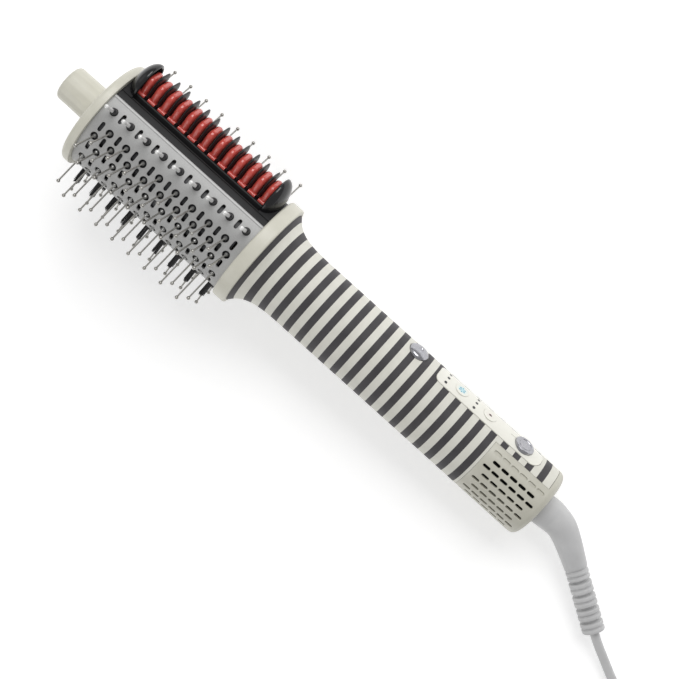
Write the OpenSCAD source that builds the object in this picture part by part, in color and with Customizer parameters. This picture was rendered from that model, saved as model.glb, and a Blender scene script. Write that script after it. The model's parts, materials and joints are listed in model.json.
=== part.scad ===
// Hot air brush: heated comb barrel, striped tubular handle, rear intake grille, mains lead.
// The brush is drawn along its own axis, a = distance from the cool tip, and then laid on the table.

/* [Barrel] */
// Outer radius of the perforated sleeve
barrel_r = 30.8; // [30:0.1:31]
// Radius of the end cap and of the rear collar
collar_r = 33.9; // [33:0.1:36]
// Wall of the perforated sleeve
sleeve_wall = 0.8; // [0.6:0.1:1]
// Radius of the airflow and pin holes
hole_r = 2.35; // [2.2:0.05:2.5]
// Length of an air slot, around the barrel
slot_len = 6.2; // [5:0.1:6.6]
// Width of an air slot
slot_w = 2.3; // [1.6:0.1:2.6]

/* [Bristles] */
// Distance between two bristles of one row
pin_pitch = 12.05; // [11.8:0.05:12.05]
// Wire radius of a bristle
pin_r = 0.5; // [0.4:0.05:0.6]
// Radius of the ball on a bristle's end
ball_r = 1.1; // [0.9:0.05:1.2]
// Radius of a nylon tuft
tuft_r = 1.3; // [1:0.1:1.4]

/* [Comb] */
// Distance between two heated ribs
rib_pitch = 7.37; // [7.3:0.01:7.37]
// Thickness of a heated rib
rib_t = 5; // [4:0.1:5]
// Height of the heated ribs above the barrel's axis
rib_top = 41.5; // [38:0.5:42]
// Height of the comb's teeth above the barrel's axis
tooth_top = 44.8; // [43:0.1:46]
// Thickness of a comb tooth
tooth_t = 2.1; // [1.4:0.1:2.1]

/* [Handle] */
// Outer radius of the handle
handle_r = 22; // [22:0.1:22.2]
// Inner radius of the handle
handle_ri = 20; // [19.9:0.1:20]
// Radius of the dome button
dome_r = 6.2; // [5.5:0.1:6.2]
// Radius of the power button
power_r = 6.1; // [5.5:0.1:6.1]
// Radius of the two panel buttons
key_r = 4.4; // [3.5:0.1:4.4]

/* [Fan] */
// Tip radius of the impeller
fan_r = 17; // [15:0.5:17]
// Number of impeller blades
blades = 9; // [5:1:11]
// Radius of the motor can
motor_r = 13.5; // [12:0.5:13.5]

/* [Lead] */
// Diameter of the mains lead
cord_d = 5.4; // [5:0.1:5.6]

/* [Hidden] */
$fn = 48;

// How the brush lies on the table: tail down, rolled on to its bristles
tilt = 6.8;
roll = -70;
place_at = [-176.6, 1.8, 63.35];

// Stations along the brush
cap_a = 25.5;       // end cap's outer face
barrel_a = 31.1;    // front of the barrel
collar_a = 139.2;   // rear of the barrel
flare_a = 147.9;    // front of the handle
grille_a = 310.8;   // front of the intake grille
tail_a = 354.5;     // rear face
comb_half = 35.2;   // half angle of the comb's tray
tongue_half = 30.2; // half angle of the handle's strip over the grille

// Bristle rows: angle of the hole, first station, angle of the tip, tip radius, count
ROWS = [[50.4, 37.4, 53.75, 48.7, 9], [70, 43.4, 78.6, 48.7, 8], [82.5, 37.4, 87.1, 48.7, 9],
    [95.7, 43.4, 96, 48.7, 8], [114.5, 37.4, 127, 48.7, 9], [131, 43.4, 136, 51, 8]];
TUFT_ROW = [171, 37.4, 171, 49.8, 9];
ALL_ROWS = concat(ROWS, [TUFT_ROW]);
// Rows of slots only, under the barrel
SLOT_ROWS = [[151, 43.4, 8]];
fan_a = 211;
RIBS = 13;
rib_a = 40;
KEYS = [247.2, 278.9, 299.6, 324.7];

// Centre line of the strain relief beyond the rear face, on the table's axes
BOOT = [[183.1, 1.9, 18.7], [189.8, 1.6, 17.9], [194.3, 0.3, 17.2], [200, -2.6, 16.3],
    [205.6, -5.9, 15.3], [212.2, -10, 14], [220.6, -15.4, 12.6], [228.9, -20.8, 11.2],
    [237.3, -26.2, 9.9], [246, -31.8, 8.6]];
// Route of the lead from the strain relief to the coil
LEAD = [[246, -31.8, 8.6], [252, -35.4, 7.7], [260.5, -39.8, 6.4], [273, -46, 4.4],
    [284, -50.4, 3.2], [296, -53.2, 2.8], [310, -54.2, 2.8], [325, -52.6, 2.8],
    [340, -49.4, 2.8], [351, -47, 2.8]];
coil_at = [361, -3];
coil_mid = 32.4;
// Route of the lead from the coil to the plug
TAIL = [[373, -46.1, 8.2], [383, -46.4, 7.9], [393, -47, 7.2], [404, -47.6, 7], [413, -48, 7]];
plug_at = [412, -48, 7];
plug_turn = -4;

// ---- helpers ----
// The brush's own axes (x = a, z = comb side) laid on the table
module place() translate(place_at) rotate([0, tilt, 0]) rotate([roll, 0, 0]) children();
// A profile drawn in (y, z), extruded along the brush
module along(a, len) translate([a, 0, 0]) rotate([90, 0, 90]) linear_extrude(len) children();
// A profile drawn in (radius, a), revolved about the brush
module turned() rotate([0, 90, 0]) rotate([0, 0, 90]) rotate_extrude($fn = 96) children();
module tube(a, len, ro, ri) translate([a, 0, 0]) rotate([0, 90, 0]) difference() {
    cylinder(h = len, r = ro, $fn = 96);
    translate([0, 0, -1]) cylinder(h = len + 2, r = ri, $fn = 96);
}
module rod(a, len, r) translate([a, 0, 0]) rotate([0, 90, 0]) cylinder(h = len, r = r);
// A radial post on the line at angle th from the comb side, towards the lower side
module radial(a, th) rotate([th, 0, 0]) translate([a, 0, 0]) children();
module wedge(half) polygon([[0, 0], [-60 * tan(half), 60], [60 * tan(half), 60]]);
function pill(l, w, n = 6) = [for (s = [0, 1]) for (i = [0 : n])
    let (t = -90 + 180 * i / n + 180 * s)
    [(s == 0 ? 1 : -1) * (l - w) / 2 + w / 2 * cos(t), w / 2 * sin(t)]];
function corner(c, r, from, n = 5) = [for (i = [0 : n]) [c[0] + r * cos(from + 90 * i / n), c[1] + r * sin(from + 90 * i / n)]];
// An arch: flat base from z0, rounded top corners
function arch(half, z0, z1, r) = concat([[half, z0]], corner([half - r, z1 - r], r, 0), corner([-half + r, z1 - r], r, 90), [[-half, z0]]);

// Smooth curve through points
function cr(p0, p1, p2, p3, t) = 0.5 * ((2 * p1) + (p2 - p0) * t + (2 * p0 - 5 * p1 + 4 * p2 - p3) * t * t + (3 * p1 - p0 - 3 * p2 + p3) * t * t * t);
function smooth(P, k) = let (n = len(P)) concat([for (i = [0 : n - 2]) for (j = [0 : k - 1])
    cr(i > 0 ? P[i - 1] : 2 * P[0] - P[1], P[i], P[i + 1], i < n - 2 ? P[i + 2] : 2 * P[n - 1] - P[n - 2], j / k)], [P[n - 1]]);
function unit(v) = v / norm(v);
function dir_at(P, i) = unit(P[min(i + 1, len(P) - 1)] - P[max(i - 1, 0)]);
function frame_ring(c, t, r, n) = let (s = unit(cross(t, [0, 0, 1])), u = cross(s, t))
    [for (k = [0 : n - 1]) c + r * cos(360 * k / n) * s + r * sin(360 * k / n) * u];
module skin(P, T, R, n) {
    m = len(P);
    pts = [for (i = [0 : m - 1]) each frame_ring(P[i], T[i], R[i], n)];
    faces = concat([[for (k = [0 : n - 1]) k]],
        [for (i = [0 : m - 2]) for (k = [0 : n - 1])
            [i * n + k, (i + 1) * n + k, (i + 1) * n + (k + 1) % n, i * n + (k + 1) % n]],
        [[for (k = [n - 1 : -1 : 0]) (m - 1) * n + k]]);
    polyhedron(points = pts, faces = faces, convexity = 10);
}
module sweep(P, r, n) skin(P, [for (i = [0 : len(P) - 1]) dir_at(P, i)], [for (p = P) r], n);
// Position and direction at a length along a polyline
function run(P, i = 0, s = 0) = i == len(P) ? [] : concat([s + (i == 0 ? 0 : norm(P[i] - P[i - 1]))], run(P, i + 1, s + (i == 0 ? 0 : norm(P[i] - P[i - 1]))));
function seg(S, s, i = 0) = (i >= len(S) - 2 || S[i + 1] >= s) ? i : seg(S, s, i + 1);
function at_len(P, S, s) = let (i = seg(S, s), f = (s - S[i]) / (S[i + 1] - S[i])) P[i] + (P[i + 1] - P[i]) * f;
function on_axis(a) = place_at + [a * cos(tilt), 0, -a * sin(tilt)];

// ---- barrel ----
module cool_tip() color("#ece8d6") place() difference() {
    turned() union() {
        translate([0, 0.1]) square([8.4, cap_a - 0.1]);
        translate([0, 2.6]) square([10.9, cap_a - 2.6]);
        intersection() {
            translate([8.4, 2.6]) circle(r = 2.5, $fn = 32);
            square([12, 3]);
        }
        translate([0, cap_a - 1]) square([8, 4]);
    }
    rod(12, 20, 1.6);
}
module tip_screw() color("silver") place() {
    rod(14, 17.2, 1.5);
    rod(31.2, 2.2, 3);
}
module end_cap() color("#ece8d6") place() difference() {
    union() {
        turned() union() {
            translate([0, cap_a]) square([collar_r - 2, barrel_a - cap_a]);
            translate([0, cap_a + 2]) square([collar_r, barrel_a - cap_a - 2]);
            translate([collar_r - 2, cap_a + 2]) circle(r = 2, $fn = 32);
        }
        difference() {
            tube(barrel_a - 0.5, 5.5, 26.1, 23.5);
            translate([barrel_a, -20, 15]) cube([10, 40, 20]);
        }
    }
    rod(cap_a - 1, 4.2, 8.05);
    rod(cap_a, 10, 1.7);
}
module barrel_sleeve() color("#a9abad") place() difference() {
    tube(barrel_a + 0.1, collar_a - barrel_a - 0.2, barrel_r, barrel_r - sleeve_wall);
    along(barrel_a - 1, 120) wedge(comb_half + 0.5);
    for (i = [0 : len(ALL_ROWS) - 1]) for (s = [1, -1]) {
        R = ALL_ROWS[i];
        for (k = [0 : R[4] - 1]) radial(R[1] + k * pin_pitch, s * R[0]) translate([0, 0, barrel_r - 3]) cylinder(h = 6, r = hole_r);
        // slots stand at the other stations of the same row
        first = R[4] == 9 ? 43.4 : 37.4;
        for (k = [0 : (R[4] == 9 ? 7 : 8)]) radial(first + k * pin_pitch, s * R[0]) translate([0, 0, barrel_r - 3]) linear_extrude(6) rotate(90) polygon(pill(slot_len, slot_w, 4));
    }
    for (R = SLOT_ROWS) for (s = [1, -1]) for (k = [0 : R[2] - 1])
        radial(R[1] + k * pin_pitch, s * R[0]) translate([0, 0, barrel_r - 3]) linear_extrude(6) rotate(90) polygon(pill(slot_len, slot_w, 4));
}
module bristle_core() color("#26272a") place() {
    difference() {
        union() {
            for (a = [36.4, 84, 128.5]) tube(a, 5, 29.4, 26.4);
            for (R = ALL_ROWS) for (s = [1, -1]) rotate([s * R[0], 0, 0]) translate([36.4, -2.6, 25.2]) cube([97.1, 5.2, 3.2]);
        }
        along(20, 130) wedge(40);
    }
    for (i = [0 : len(ALL_ROWS) - 1]) for (s = [1, -1]) {
        R = ALL_ROWS[i];
        for (k = [0 : R[4] - 1]) radial(R[1] + k * pin_pitch, s * R[0]) translate([0, 0, 27]) {
            cylinder(h = 4, r = 1.95, $fn = 24);
            if (i == 0) translate([0, 0, 4]) cylinder(h = 6, r1 = 1.95, r2 = 0.9, $fn = 24);
        }
    }
}
// A ball-ended wire through the hole at angle th, its tip at angle tt and radius rt
module pin(a, th, tt, rt) {
    h = [-barrel_r * sin(th), barrel_r * cos(th)];
    t = [-rt * sin(tt), rt * cos(tt)];
    l = norm(t - h);
    translate([a, h[0], h[1]]) rotate([atan2(h[0] - t[0], t[1] - h[1]), 0, 0]) rotate([0, -4.5 * cos(57.5 - tt), 0]) {
        translate([0, 0, -4.4]) cylinder(h = 4.4 + l - ball_r, r = pin_r, $fn = 16);
        translate([0, 0, l - ball_r]) sphere(r = ball_r, $fn = 20);
    }
}
module side_pins() color("#e8e6e0") place() for (R = ROWS) for (s = [1, -1]) for (k = [0 : R[4] - 1])
    pin(R[1] + k * pin_pitch, s * R[0], s * R[2], R[3]);
module bottom_pins() color("#e8e6e0") place() for (s = [1, -1]) for (k = [0 : TUFT_ROW[4] - 1])
    pin(TUFT_ROW[1] + k * pin_pitch, s * TUFT_ROW[0], s * TUFT_ROW[2], TUFT_ROW[3]);
module nylon_tufts() color("#1c1c1e") place() for (s = [1, -1]) for (k = [0 : TUFT_ROW[4] - 1])
    radial(TUFT_ROW[1] + k * pin_pitch, s * TUFT_ROW[0]) translate([0, 0, 31.1]) cylinder(h = 12.9, r = tuft_r, $fn = 16);

// ---- comb ----
module comb_tray() color("#222326") place() difference() {
    union() {
        along(barrel_a + 0.2, collar_a - barrel_a - 0.4) difference() {
            intersection() {
                circle(r = barrel_r, $fn = 96);
                wedge(comb_half);
                translate([-20, 23.5]) square([40, 12]);
            }
            translate([-13.3, 25.5]) square([26.6, 12]);
        }
        for (a = [barrel_a + 0.2, 131]) along(a, a < 50 ? 6.7 : 8) intersection() {
            circle(r = barrel_r, $fn = 96);
            translate([-13.4, 25]) square([26.8, 12]);
        }
        along(37.5, 94) translate([-9, 25]) square([18, 4]);
        for (k = [0 : RIBS - 2]) along(rib_a + rib_pitch * (k + 0.5) - tooth_t / 2, tooth_t) polygon(arch(8.4, 28, tooth_top, 5));
    }
    for (k = [0 : RIBS - 1]) translate([rib_a + rib_pitch * k - rib_t / 2 - 0.08, -7.45, 23]) cube([rib_t + 0.16, 14.9, 7]);
}
module comb_heater() color("#b23a34") place() {
    translate([36, -8.5, 20.2]) cube([96, 17, 3.2]);
    for (k = [0 : RIBS - 1]) along(rib_a + rib_pitch * k - rib_t / 2, rib_t) polygon(arch(7.3, 23.3, rib_top, 4.5));
}
module guard(a) difference() {
    along(a, 5) polygon(arch(11.5, 26, 46.5, 8));
    translate([a - 1, 0, 0]) rotate([0, 90, 0]) cylinder(h = 7, r = barrel_r + 0.05, $fn = 96);
}
module front_guard() color("#1d1e20") place() guard(32.4);
module rear_guard() color("#1d1e20") place() guard(131.4);
module ptc_block() color("#8f8a80") place() translate([45, -9, 6]) cube([80, 18, 14]);
module heater_frame() color("#cfc6ae") place() {
    for (y = [-10.3, 9.1]) translate([40, y, -6]) cube([95.8, 1.2, 25.8]);
    for (a = [38.8, 135.8]) difference() {
        translate([a, -17, -13]) cube([1.2, 34, 32.8]);
        for (y = [-7, 7]) translate([a - 1, y, 0]) rotate([0, 90, 0]) cylinder(h = 4, r = 4.5);
    }
}
module thermal_cutout() color("#d9d9d6") place() {
    translate([82, -4.5, 0]) cube([14, 9, 5.9]);
    for (a = [79, 96]) translate([a, -1.5, 2]) cube([3, 3, 0.8]);
}
module rear_collar() color("#ece8d6") place() difference() {
    union() {
        turned() difference() {
            union() {
                translate([0, collar_a]) square([collar_r - 1.2, flare_a - 0.1 - collar_a]);
                translate([0, collar_a + 1.2]) square([collar_r, flare_a - 2.5 - collar_a]);
                for (a = [collar_a + 1.2, flare_a - 1.3]) translate([collar_r - 1.2, a]) circle(r = 1.2, $fn = 24);
                translate([0, flare_a - 0.2]) square([26.6, 2]);
            }
            translate([-1, collar_a - 1]) square([24.5, 20]);
        }
        difference() {
            tube(collar_a - 5, 5.5, 26.1, 23.5);
            translate([collar_a - 6, -20, 15]) cube([6, 40, 20]);
        }
    }
}

// ---- handle ----
function flare(a) = handle_r + 9.9 * (exp(-(a - flare_a) / 6.7) - exp(-(176 - flare_a) / 6.7));
module handle_sleeve() color("#e9e6d6") place() difference() {
    turned() polygon(concat(
        [for (a = [flare_a : 2 : 174]) [flare(a), a]], [[handle_r, 176], [handle_r, 349.4], [handle_ri, 349.4], [handle_ri, 172]],
        [for (a = [165.9 : -3 : flare_a]) [max(handle_ri, flare(a) - 2.4), a]]));
    along(grille_a, 60) difference() {
        circle(r = 40);
        wedge(tongue_half);
    }
    translate([300.1, 0, 15]) linear_extrude(20) polygon(pill(75.4, 15.6, 10));
    radial(KEYS[0], 0) translate([0, 0, 15]) cylinder(h = 20, r = dome_r + 0.3);
}
module intake_grille() color("#e9e6d6") place() difference() {
    turned() polygon(concat([[handle_ri, grille_a + 0.3], [handle_r, grille_a + 0.3]],
        [for (i = [0 : 6]) [handle_r - 4 + 4 * cos(90 * i / 6), 350.5 + 4 * sin(90 * i / 6)]],
        [[10, tail_a], [10, 352], [18.5, 352], [handle_ri, 350.4]]));
    along(grille_a - 1, 349.7 - grille_a + 1) wedge(tongue_half + 0.5);
    for (j = [0 : 22]) for (k = [0 : (j % 2 == 0 ? 5 : 4)])
        rotate([42.3 + 12.52 * j, 0, 0]) translate([316.1 + (j % 2) * 3.08 + k * 6.17 - 2.5, -0.85, j == 0 || j == 22 ? handle_r - 0.8 : 18]) cube([5, 1.7, 8]);
}
module filter_screen() color("#3a3b3d") place() difference() {
    tube(312, 37, 19.4, 18.8);
    translate([311, -19, 14]) cube([40, 38, 10]);
    for (j = [0 : 10]) for (k = [0 : 4]) rotate([70 + 22 * j, 0, 0]) translate([314 + k * 7, -2, 15]) cube([5, 4, 8]);
}
module control_panel() color("#f0edde") place() difference() {
    intersection() {
        tube(255, 90, handle_r + 0.25, handle_ri + 0.1);
        translate([300.1, 0, 10]) linear_extrude(20) polygon(pill(75, 15.2, 10));
    }
    for (i = [1, 2]) radial(KEYS[i], 0) translate([0, 0, 15]) cylinder(h = 20, r = key_r + 0.3);
    radial(KEYS[3], 0) translate([0, 0, 15]) cylinder(h = 20, r = power_r + 0.3);
    for (a = [269, 289.7]) for (t = [-12, 0, 12]) radial(a, t) translate([0, 0, 15]) cylinder(h = 20, r = 0.5, $fn = 16);
}
module indicator_lenses() color("#111214") place() for (a = [269, 289.7]) for (t = [-12, 0, 12])
    radial(a, t) translate([0, 0, 20.2]) cylinder(h = 2.1, r = 0.46, $fn = 16);
// A button: cap, retaining flange and plunger
module button(a, r, top) radial(a, 0) {
    translate([0, 0, 17.9]) cylinder(h = top - 17.9, r = r);
    translate([0, 0, 17]) cylinder(h = 1.2, r = r + 0.8);
    translate([0, 0, 16.7]) cylinder(h = 0.5, r = 1.5);
}
module dome_button() color("#c9c9cd") place() difference() {
    intersection() {
        button(KEYS[0], dome_r, 25);
        radial(KEYS[0], 0) translate([0, 0, 13.4]) sphere(r = 11);
    }
    radial(KEYS[0], 0) translate([0, 0, 27.1]) sphere(r = 3);
}
module power_button() color("#c9c9cd") place() difference() {
    button(KEYS[3], power_r, 23.5);
    radial(KEYS[3], 0) translate([0, 0, 23.3]) difference() {
        cylinder(h = 1, r = 4.5);
        translate([0, 0, -1]) cylinder(h = 3, r = 4);
    }
}
module mode_button() color("#f0edde") place() button(KEYS[1], key_r, 22.35);
module speed_button() color("#f0edde") place() button(KEYS[2], key_r, 22.35);
module tact_switches() color("#2b2b2b") place() for (a = KEYS) {
    translate([a - 3, -3, 12.5]) cube([6, 6, 1.7]);
    translate([a, 0, 14.2]) cylinder(h = 0.8, r = 1.7);
}
module control_board() color("#2f6b45") place() difference() {
    translate([238, -11, 10.9]) cube([107, 22, 1.6]);
    for (a = [241.5, 341.5]) for (y = [-8, 8]) translate([a, y, 5]) cylinder(h = 10, r = 1.3);
}
module board_screws() color("silver") place() for (a = [241.5, 341.5]) for (y = [-8, 8]) translate([a, y, 0]) {
    translate([0, 0, 8.8]) cylinder(h = 3.9, r = 1.1);
    translate([0, 0, 12.6]) cylinder(h = 1.2, r = 2);
}

// ---- fan ----
module fan_housing() color("#d8d6cc") place() {
    tube(178, 54, 19.7, 17.6);
    tube(185, 20, 15.6, 14.5);
    for (i = [0 : 5]) rotate([60 * i + 30, 0, 0]) translate([185, -0.6, 15.3]) cube([20, 1.2, 2.6]);
}
module motor_mount() color("#2a2a2c") place() tube(186, 18, 14.4, motor_r + 0.05);
module motor() color("#9a9ca0") place() difference() {
    union() {
        rod(184, 22, motor_r);
        rod(181, 27, 5);
    }
    rod(179, 32, 1.55);
}
module fan_shaft() color("#d0d2d4") place() rod(181.5, 45, 1.5);
module impeller() color("#3b3d42") place() difference() {
    union() {
        rod(fan_a, 13, 7.5);
        for (i = [0 : blades - 1]) rotate([360 / blades * i, 0, 0]) translate([fan_a + 6.5, 0, 7]) rotate([0, 0, 36]) translate([-5.5, -0.6, 0]) cube([11, 1.2, fan_r - 7.2]);
    }
    rod(fan_a - 1, 20, 1.5);
}

// ---- lead ----
// Radius of the strain relief's smooth part, tapering to the ribs at r0
function body_r(s, r0) = s < 14 ? 9.5 : 9.5 - 3 * pow(min(1, (s - 14) / (r0 - 14)), 0.8);
module strain_relief() color("#c6c7c9") {
    P = smooth(concat([on_axis(349), on_axis(353), on_axis(357)], BOOT), 6);
    S = run(P);
    end = S[len(S) - 1];
    r0 = end - 38.8;
    // grooves: start, length and floor radius
    G = concat([[r0 + 0.6, 1.4, 5.6], [r0 + 3.9, 1.4, 5.6], [r0 + 7, 1.4, 4.2]],
        [for (k = [0 : 3]) each [[r0 + 11.4 + 8 * k, 1.2, 5.9], [r0 + 15 + 8 * k, 1.4, 4.2]]]);
    Q = concat([for (s = [0 : 3 : r0]) [s, body_r(s, r0)]],
        [for (g = G) if (g[0] + g[1] < end - 1) each [[g[0], 6.7], [g[0] + 0.2, g[2]], [g[0] + g[1] - 0.2, g[2]], [g[0] + g[1], 6.7]]],
        [[end - 0.8, 6.9], [end, 6.2]]);
    skin([for (c = Q) at_len(P, S, c[0])], [for (c = Q) unit(at_len(P, S, min(end, c[0] + 3)) - at_len(P, S, max(0, c[0] - 3)))], [for (c = Q) c[1]], 24);
}
module cord_lead() color("#d4d5d6") sweep(smooth(LEAD, 3), cord_d / 2, 8 + 2);
module cord_coil() color("#d4d5d6") translate([coil_at[0], coil_at[1], 0]) rotate_extrude($fn = 64)
    translate([coil_mid - 2.5 * cord_d - 0.1, 0.1]) square([5 * cord_d + 0.2, 2 * cord_d + 0.1]);
module coil_tie() color("#2c2c2e") translate([coil_at[0], coil_at[1], 0]) rotate([0, 0, 150]) translate([coil_mid, 0, 0]) difference() {
    translate([-14.9, -3, 0.05]) cube([29.8, 6, 12]);
    translate([-13.6, -4, 0.1]) cube([27.2, 8, 10.9]);
}
module cord_tail() color("#d4d5d6") sweep(smooth(TAIL, 2), cord_d / 2, 10);
module plug_body() color("#d4d5d6") translate(plug_at) rotate([0, 0, plug_turn]) {
    rotate([0, 90, 0]) cylinder(h = 12.1, r1 = 3.6, r2 = 5.2, $fn = 32);
    translate([12, 0, 0]) rotate([90, 0, 90]) linear_extrude(24) polygon(concat(
        corner([8, 3], 4, 0), corner([-8, 3], 4, 90), corner([-8, -3], 4, 180), corner([8, -3], 4, 270)));
}
module plug_blades() color("#c9b37a") translate(plug_at) rotate([0, 0, plug_turn])
    for (y = [-6.35, 6.35]) translate([30, y - 0.75, -3.2]) difference() {
        cube([24, 1.5, 6.4]);
        translate([20.5, -1, 3.2]) rotate([-90, 0, 0]) cylinder(h = 4, r = 1.6, $fn = 24);
    }
module cord_clamp() color("#d8d6cc") place() {
    translate([338, -9, -7]) cube([6, 18, 2.5]);
    translate([338, -9, 4.5]) cube([6, 18, 2.5]);
    for (y = [-9, 6]) translate([338, y, -4.5]) cube([6, 3, 9]);
}
module clamp_screws() color("silver") place() for (y = [-7.5, 7.5]) translate([341, y, 7.1]) {
    translate([0, 0, 0]) cylinder(h = 1.4, r = 2.2);
}

cool_tip();
tip_screw();
end_cap();
barrel_sleeve();
bristle_core();
side_pins();
bottom_pins();
nylon_tufts();
comb_tray();
comb_heater();
front_guard();
rear_guard();
ptc_block();
heater_frame();
thermal_cutout();
rear_collar();
handle_sleeve();
intake_grille();
filter_screen();
control_panel();
indicator_lenses();
dome_button();
power_button();
mode_button();
speed_button();
tact_switches();
control_board();
board_screws();
fan_housing();
motor_mount();
motor();
fan_shaft();
impeller();
cord_clamp();
clamp_screws();
strain_relief();
cord_lead();
cord_coil();
coil_tie();
cord_tail();
plug_body();
plug_blades();
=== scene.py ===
import json
import math
import random

import bpy
import bmesh
from mathutils import Matrix, Vector

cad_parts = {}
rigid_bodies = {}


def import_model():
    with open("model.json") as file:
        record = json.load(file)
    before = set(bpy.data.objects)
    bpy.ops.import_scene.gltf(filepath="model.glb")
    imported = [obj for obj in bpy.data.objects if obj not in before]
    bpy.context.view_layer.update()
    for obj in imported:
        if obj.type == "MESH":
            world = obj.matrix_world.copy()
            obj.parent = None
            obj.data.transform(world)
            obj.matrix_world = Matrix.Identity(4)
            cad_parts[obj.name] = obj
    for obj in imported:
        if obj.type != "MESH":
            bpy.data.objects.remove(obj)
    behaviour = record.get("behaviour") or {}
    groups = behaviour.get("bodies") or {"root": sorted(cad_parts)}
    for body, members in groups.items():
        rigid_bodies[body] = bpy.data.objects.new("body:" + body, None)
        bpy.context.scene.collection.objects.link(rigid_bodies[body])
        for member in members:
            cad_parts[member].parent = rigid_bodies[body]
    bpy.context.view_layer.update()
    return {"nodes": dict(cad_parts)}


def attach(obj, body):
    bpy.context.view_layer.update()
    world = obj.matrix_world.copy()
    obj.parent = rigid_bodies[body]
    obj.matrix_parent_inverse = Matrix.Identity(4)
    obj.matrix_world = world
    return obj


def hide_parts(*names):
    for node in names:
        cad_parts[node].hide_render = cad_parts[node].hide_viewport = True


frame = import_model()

NODES = frame["nodes"]
random.seed(7)

# ---------------------------------------------------------------- frames of reference
# The brush's own axes in mm: x along it from the cool tip, z towards the comb, -y towards the lower side.
MM = 0.001
AT = Vector((-176.6, 1.8, 63.35))
TILT, ROLL = math.radians(6.8), math.radians(-70)
ROT = Matrix.Rotation(TILT, 3, "Y") @ Matrix.Rotation(ROLL, 3, "X")


def L(p):
    """A point on the brush's own axes, in mm, as a row-frame point in metres."""
    return (ROT @ Vector(p) + AT) * MM


def pol(a, r, deg):
    """Radius r at angle deg from the comb side towards the lower side."""
    t = math.radians(deg)
    return (a, -r * math.sin(t), r * math.cos(t))


# ---------------------------------------------------------------- camera
cam_at = Vector((148.458, 189.970, 906.833)) * MM
cam_to = Vector((31.908, -3.886, 39.762)) * MM
fwd = (cam_to - cam_at).normalized()
up = Vector((-0.68306, 0.72691, -0.07100))
right = fwd.cross(up).normalized()
up = right.cross(fwd).normalized()
cam_data = bpy.data.cameras.new("camera")
cam_data.sensor_width = 36
cam_data.lens = 36 * 1605 / 679
cam_data.clip_start, cam_data.clip_end = 0.05, 20
cam = bpy.data.objects.new("camera", cam_data)
cam.matrix_world = Matrix((
    (right.x, up.x, -fwd.x, cam_at.x),
    (right.y, up.y, -fwd.y, cam_at.y),
    (right.z, up.z, -fwd.z, cam_at.z),
    (0, 0, 0, 1)))
bpy.context.scene.collection.objects.link(cam)
bpy.context.scene.camera = cam
bpy.context.scene.view_settings.view_transform = "Standard"


# ---------------------------------------------------------------- materials
class Mat:
    """Small helper to wire a Principled material."""

    def __init__(self, name, rough=0.5, metallic=0.0, **kw):
        self.m = bpy.data.materials.new(name)
        self.m.use_nodes = True
        self.t = self.m.node_tree
        self.b = self.t.nodes["Principled BSDF"]
        self.b.inputs["Roughness"].default_value = rough
        self.b.inputs["Metallic"].default_value = metallic
        for k, v in kw.items():
            self.b.inputs[k.replace("_", " ")].default_value = v
        self.coord = self.n("ShaderNodeTexCoord").outputs["Object"]

    def n(self, kind, **props):
        node = self.t.nodes.new(kind)
        for k, v in props.items():
            setattr(node, k, v)
        return node

    def link(self, a, b):
        self.t.links.new(a, b)

    def noise(self, scale, detail=3, rough=0.5, distortion=0.0, coord=None):
        n = self.n("ShaderNodeTexNoise")
        n.inputs["Scale"].default_value = scale
        n.inputs["Detail"].default_value = detail
        n.inputs["Roughness"].default_value = rough
        n.inputs["Distortion"].default_value = distortion
        self.link(coord or self.coord, n.inputs["Vector"])
        return n.outputs["Fac"]

    def ramp(self, fac, stops):
        r = self.n("ShaderNodeValToRGB")
        e = r.color_ramp.elements
        while len(e) < len(stops):
            e.new(0.5)
        for el, (p, c) in zip(e, stops):
            el.position = p
            el.color = tuple(c) + (1,) if len(c) == 3 else c
        self.link(fac, r.inputs["Fac"])
        return r.outputs["Color"]

    def math(self, op, a, b=None, c=None):
        m = self.n("ShaderNodeMath", operation=op)
        for i, v in enumerate((a, b, c)):
            if v is None:
                continue
            if isinstance(v, (int, float)):
                m.inputs[i].default_value = v
            else:
                self.link(v, m.inputs[i])
        return m.outputs[0]

    def dot(self, axis, offset):
        """Coordinate in mm along a row-frame axis."""
        v = self.n("ShaderNodeVectorMath", operation="DOT_PRODUCT")
        self.link(self.coord, v.inputs[0])
        v.inputs[1].default_value = tuple(x * 1000 for x in axis)
        return self.math("ADD", v.outputs["Value"], offset)

    def local(self):
        """Sockets with the brush's own x, y, z in mm."""
        out = []
        for i in range(3):
            ax = ROT @ Vector([1.0 if j == i else 0.0 for j in range(3)])
            out.append(self.dot(ax, -ax.dot(AT)))
        return out

    def bump(self, height, strength, distance=0.0002, normal=None):
        b = self.n("ShaderNodeBump")
        b.inputs["Strength"].default_value = strength
        b.inputs["Distance"].default_value = distance
        self.link(height, b.inputs["Height"])
        if normal is not None:
            self.link(normal, b.inputs["Normal"])
        self.link(b.outputs["Normal"], self.b.inputs["Normal"])
        return b.outputs["Normal"]

    def color(self, socket):
        self.link(socket, self.b.inputs["Base Color"])

    def rough(self, fac, lo, hi):
        r = self.n("ShaderNodeMapRange")
        r.inputs["To Min"].default_value = lo
        r.inputs["To Max"].default_value = hi
        self.link(fac, r.inputs["Value"])
        self.link(r.outputs["Result"], self.b.inputs["Roughness"])


def plastic(name, c1, c2, rough=(0.35, 0.5), grain=2600, bump=0.08, mottled=90, **kw):
    """Moulded plastic: faint mottle in colour, fine spark-eroded grain in the surface."""
    m = Mat(name, **kw)
    m.color(m.ramp(m.noise(mottled, 4, 0.6), [(0.3, c1), (0.7, c2)]))
    m.rough(m.noise(grain * 0.35, 3, 0.6), *rough)
    m.bump(m.noise(grain, 2, 0.5), bump, 0.0001)
    return m


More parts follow.
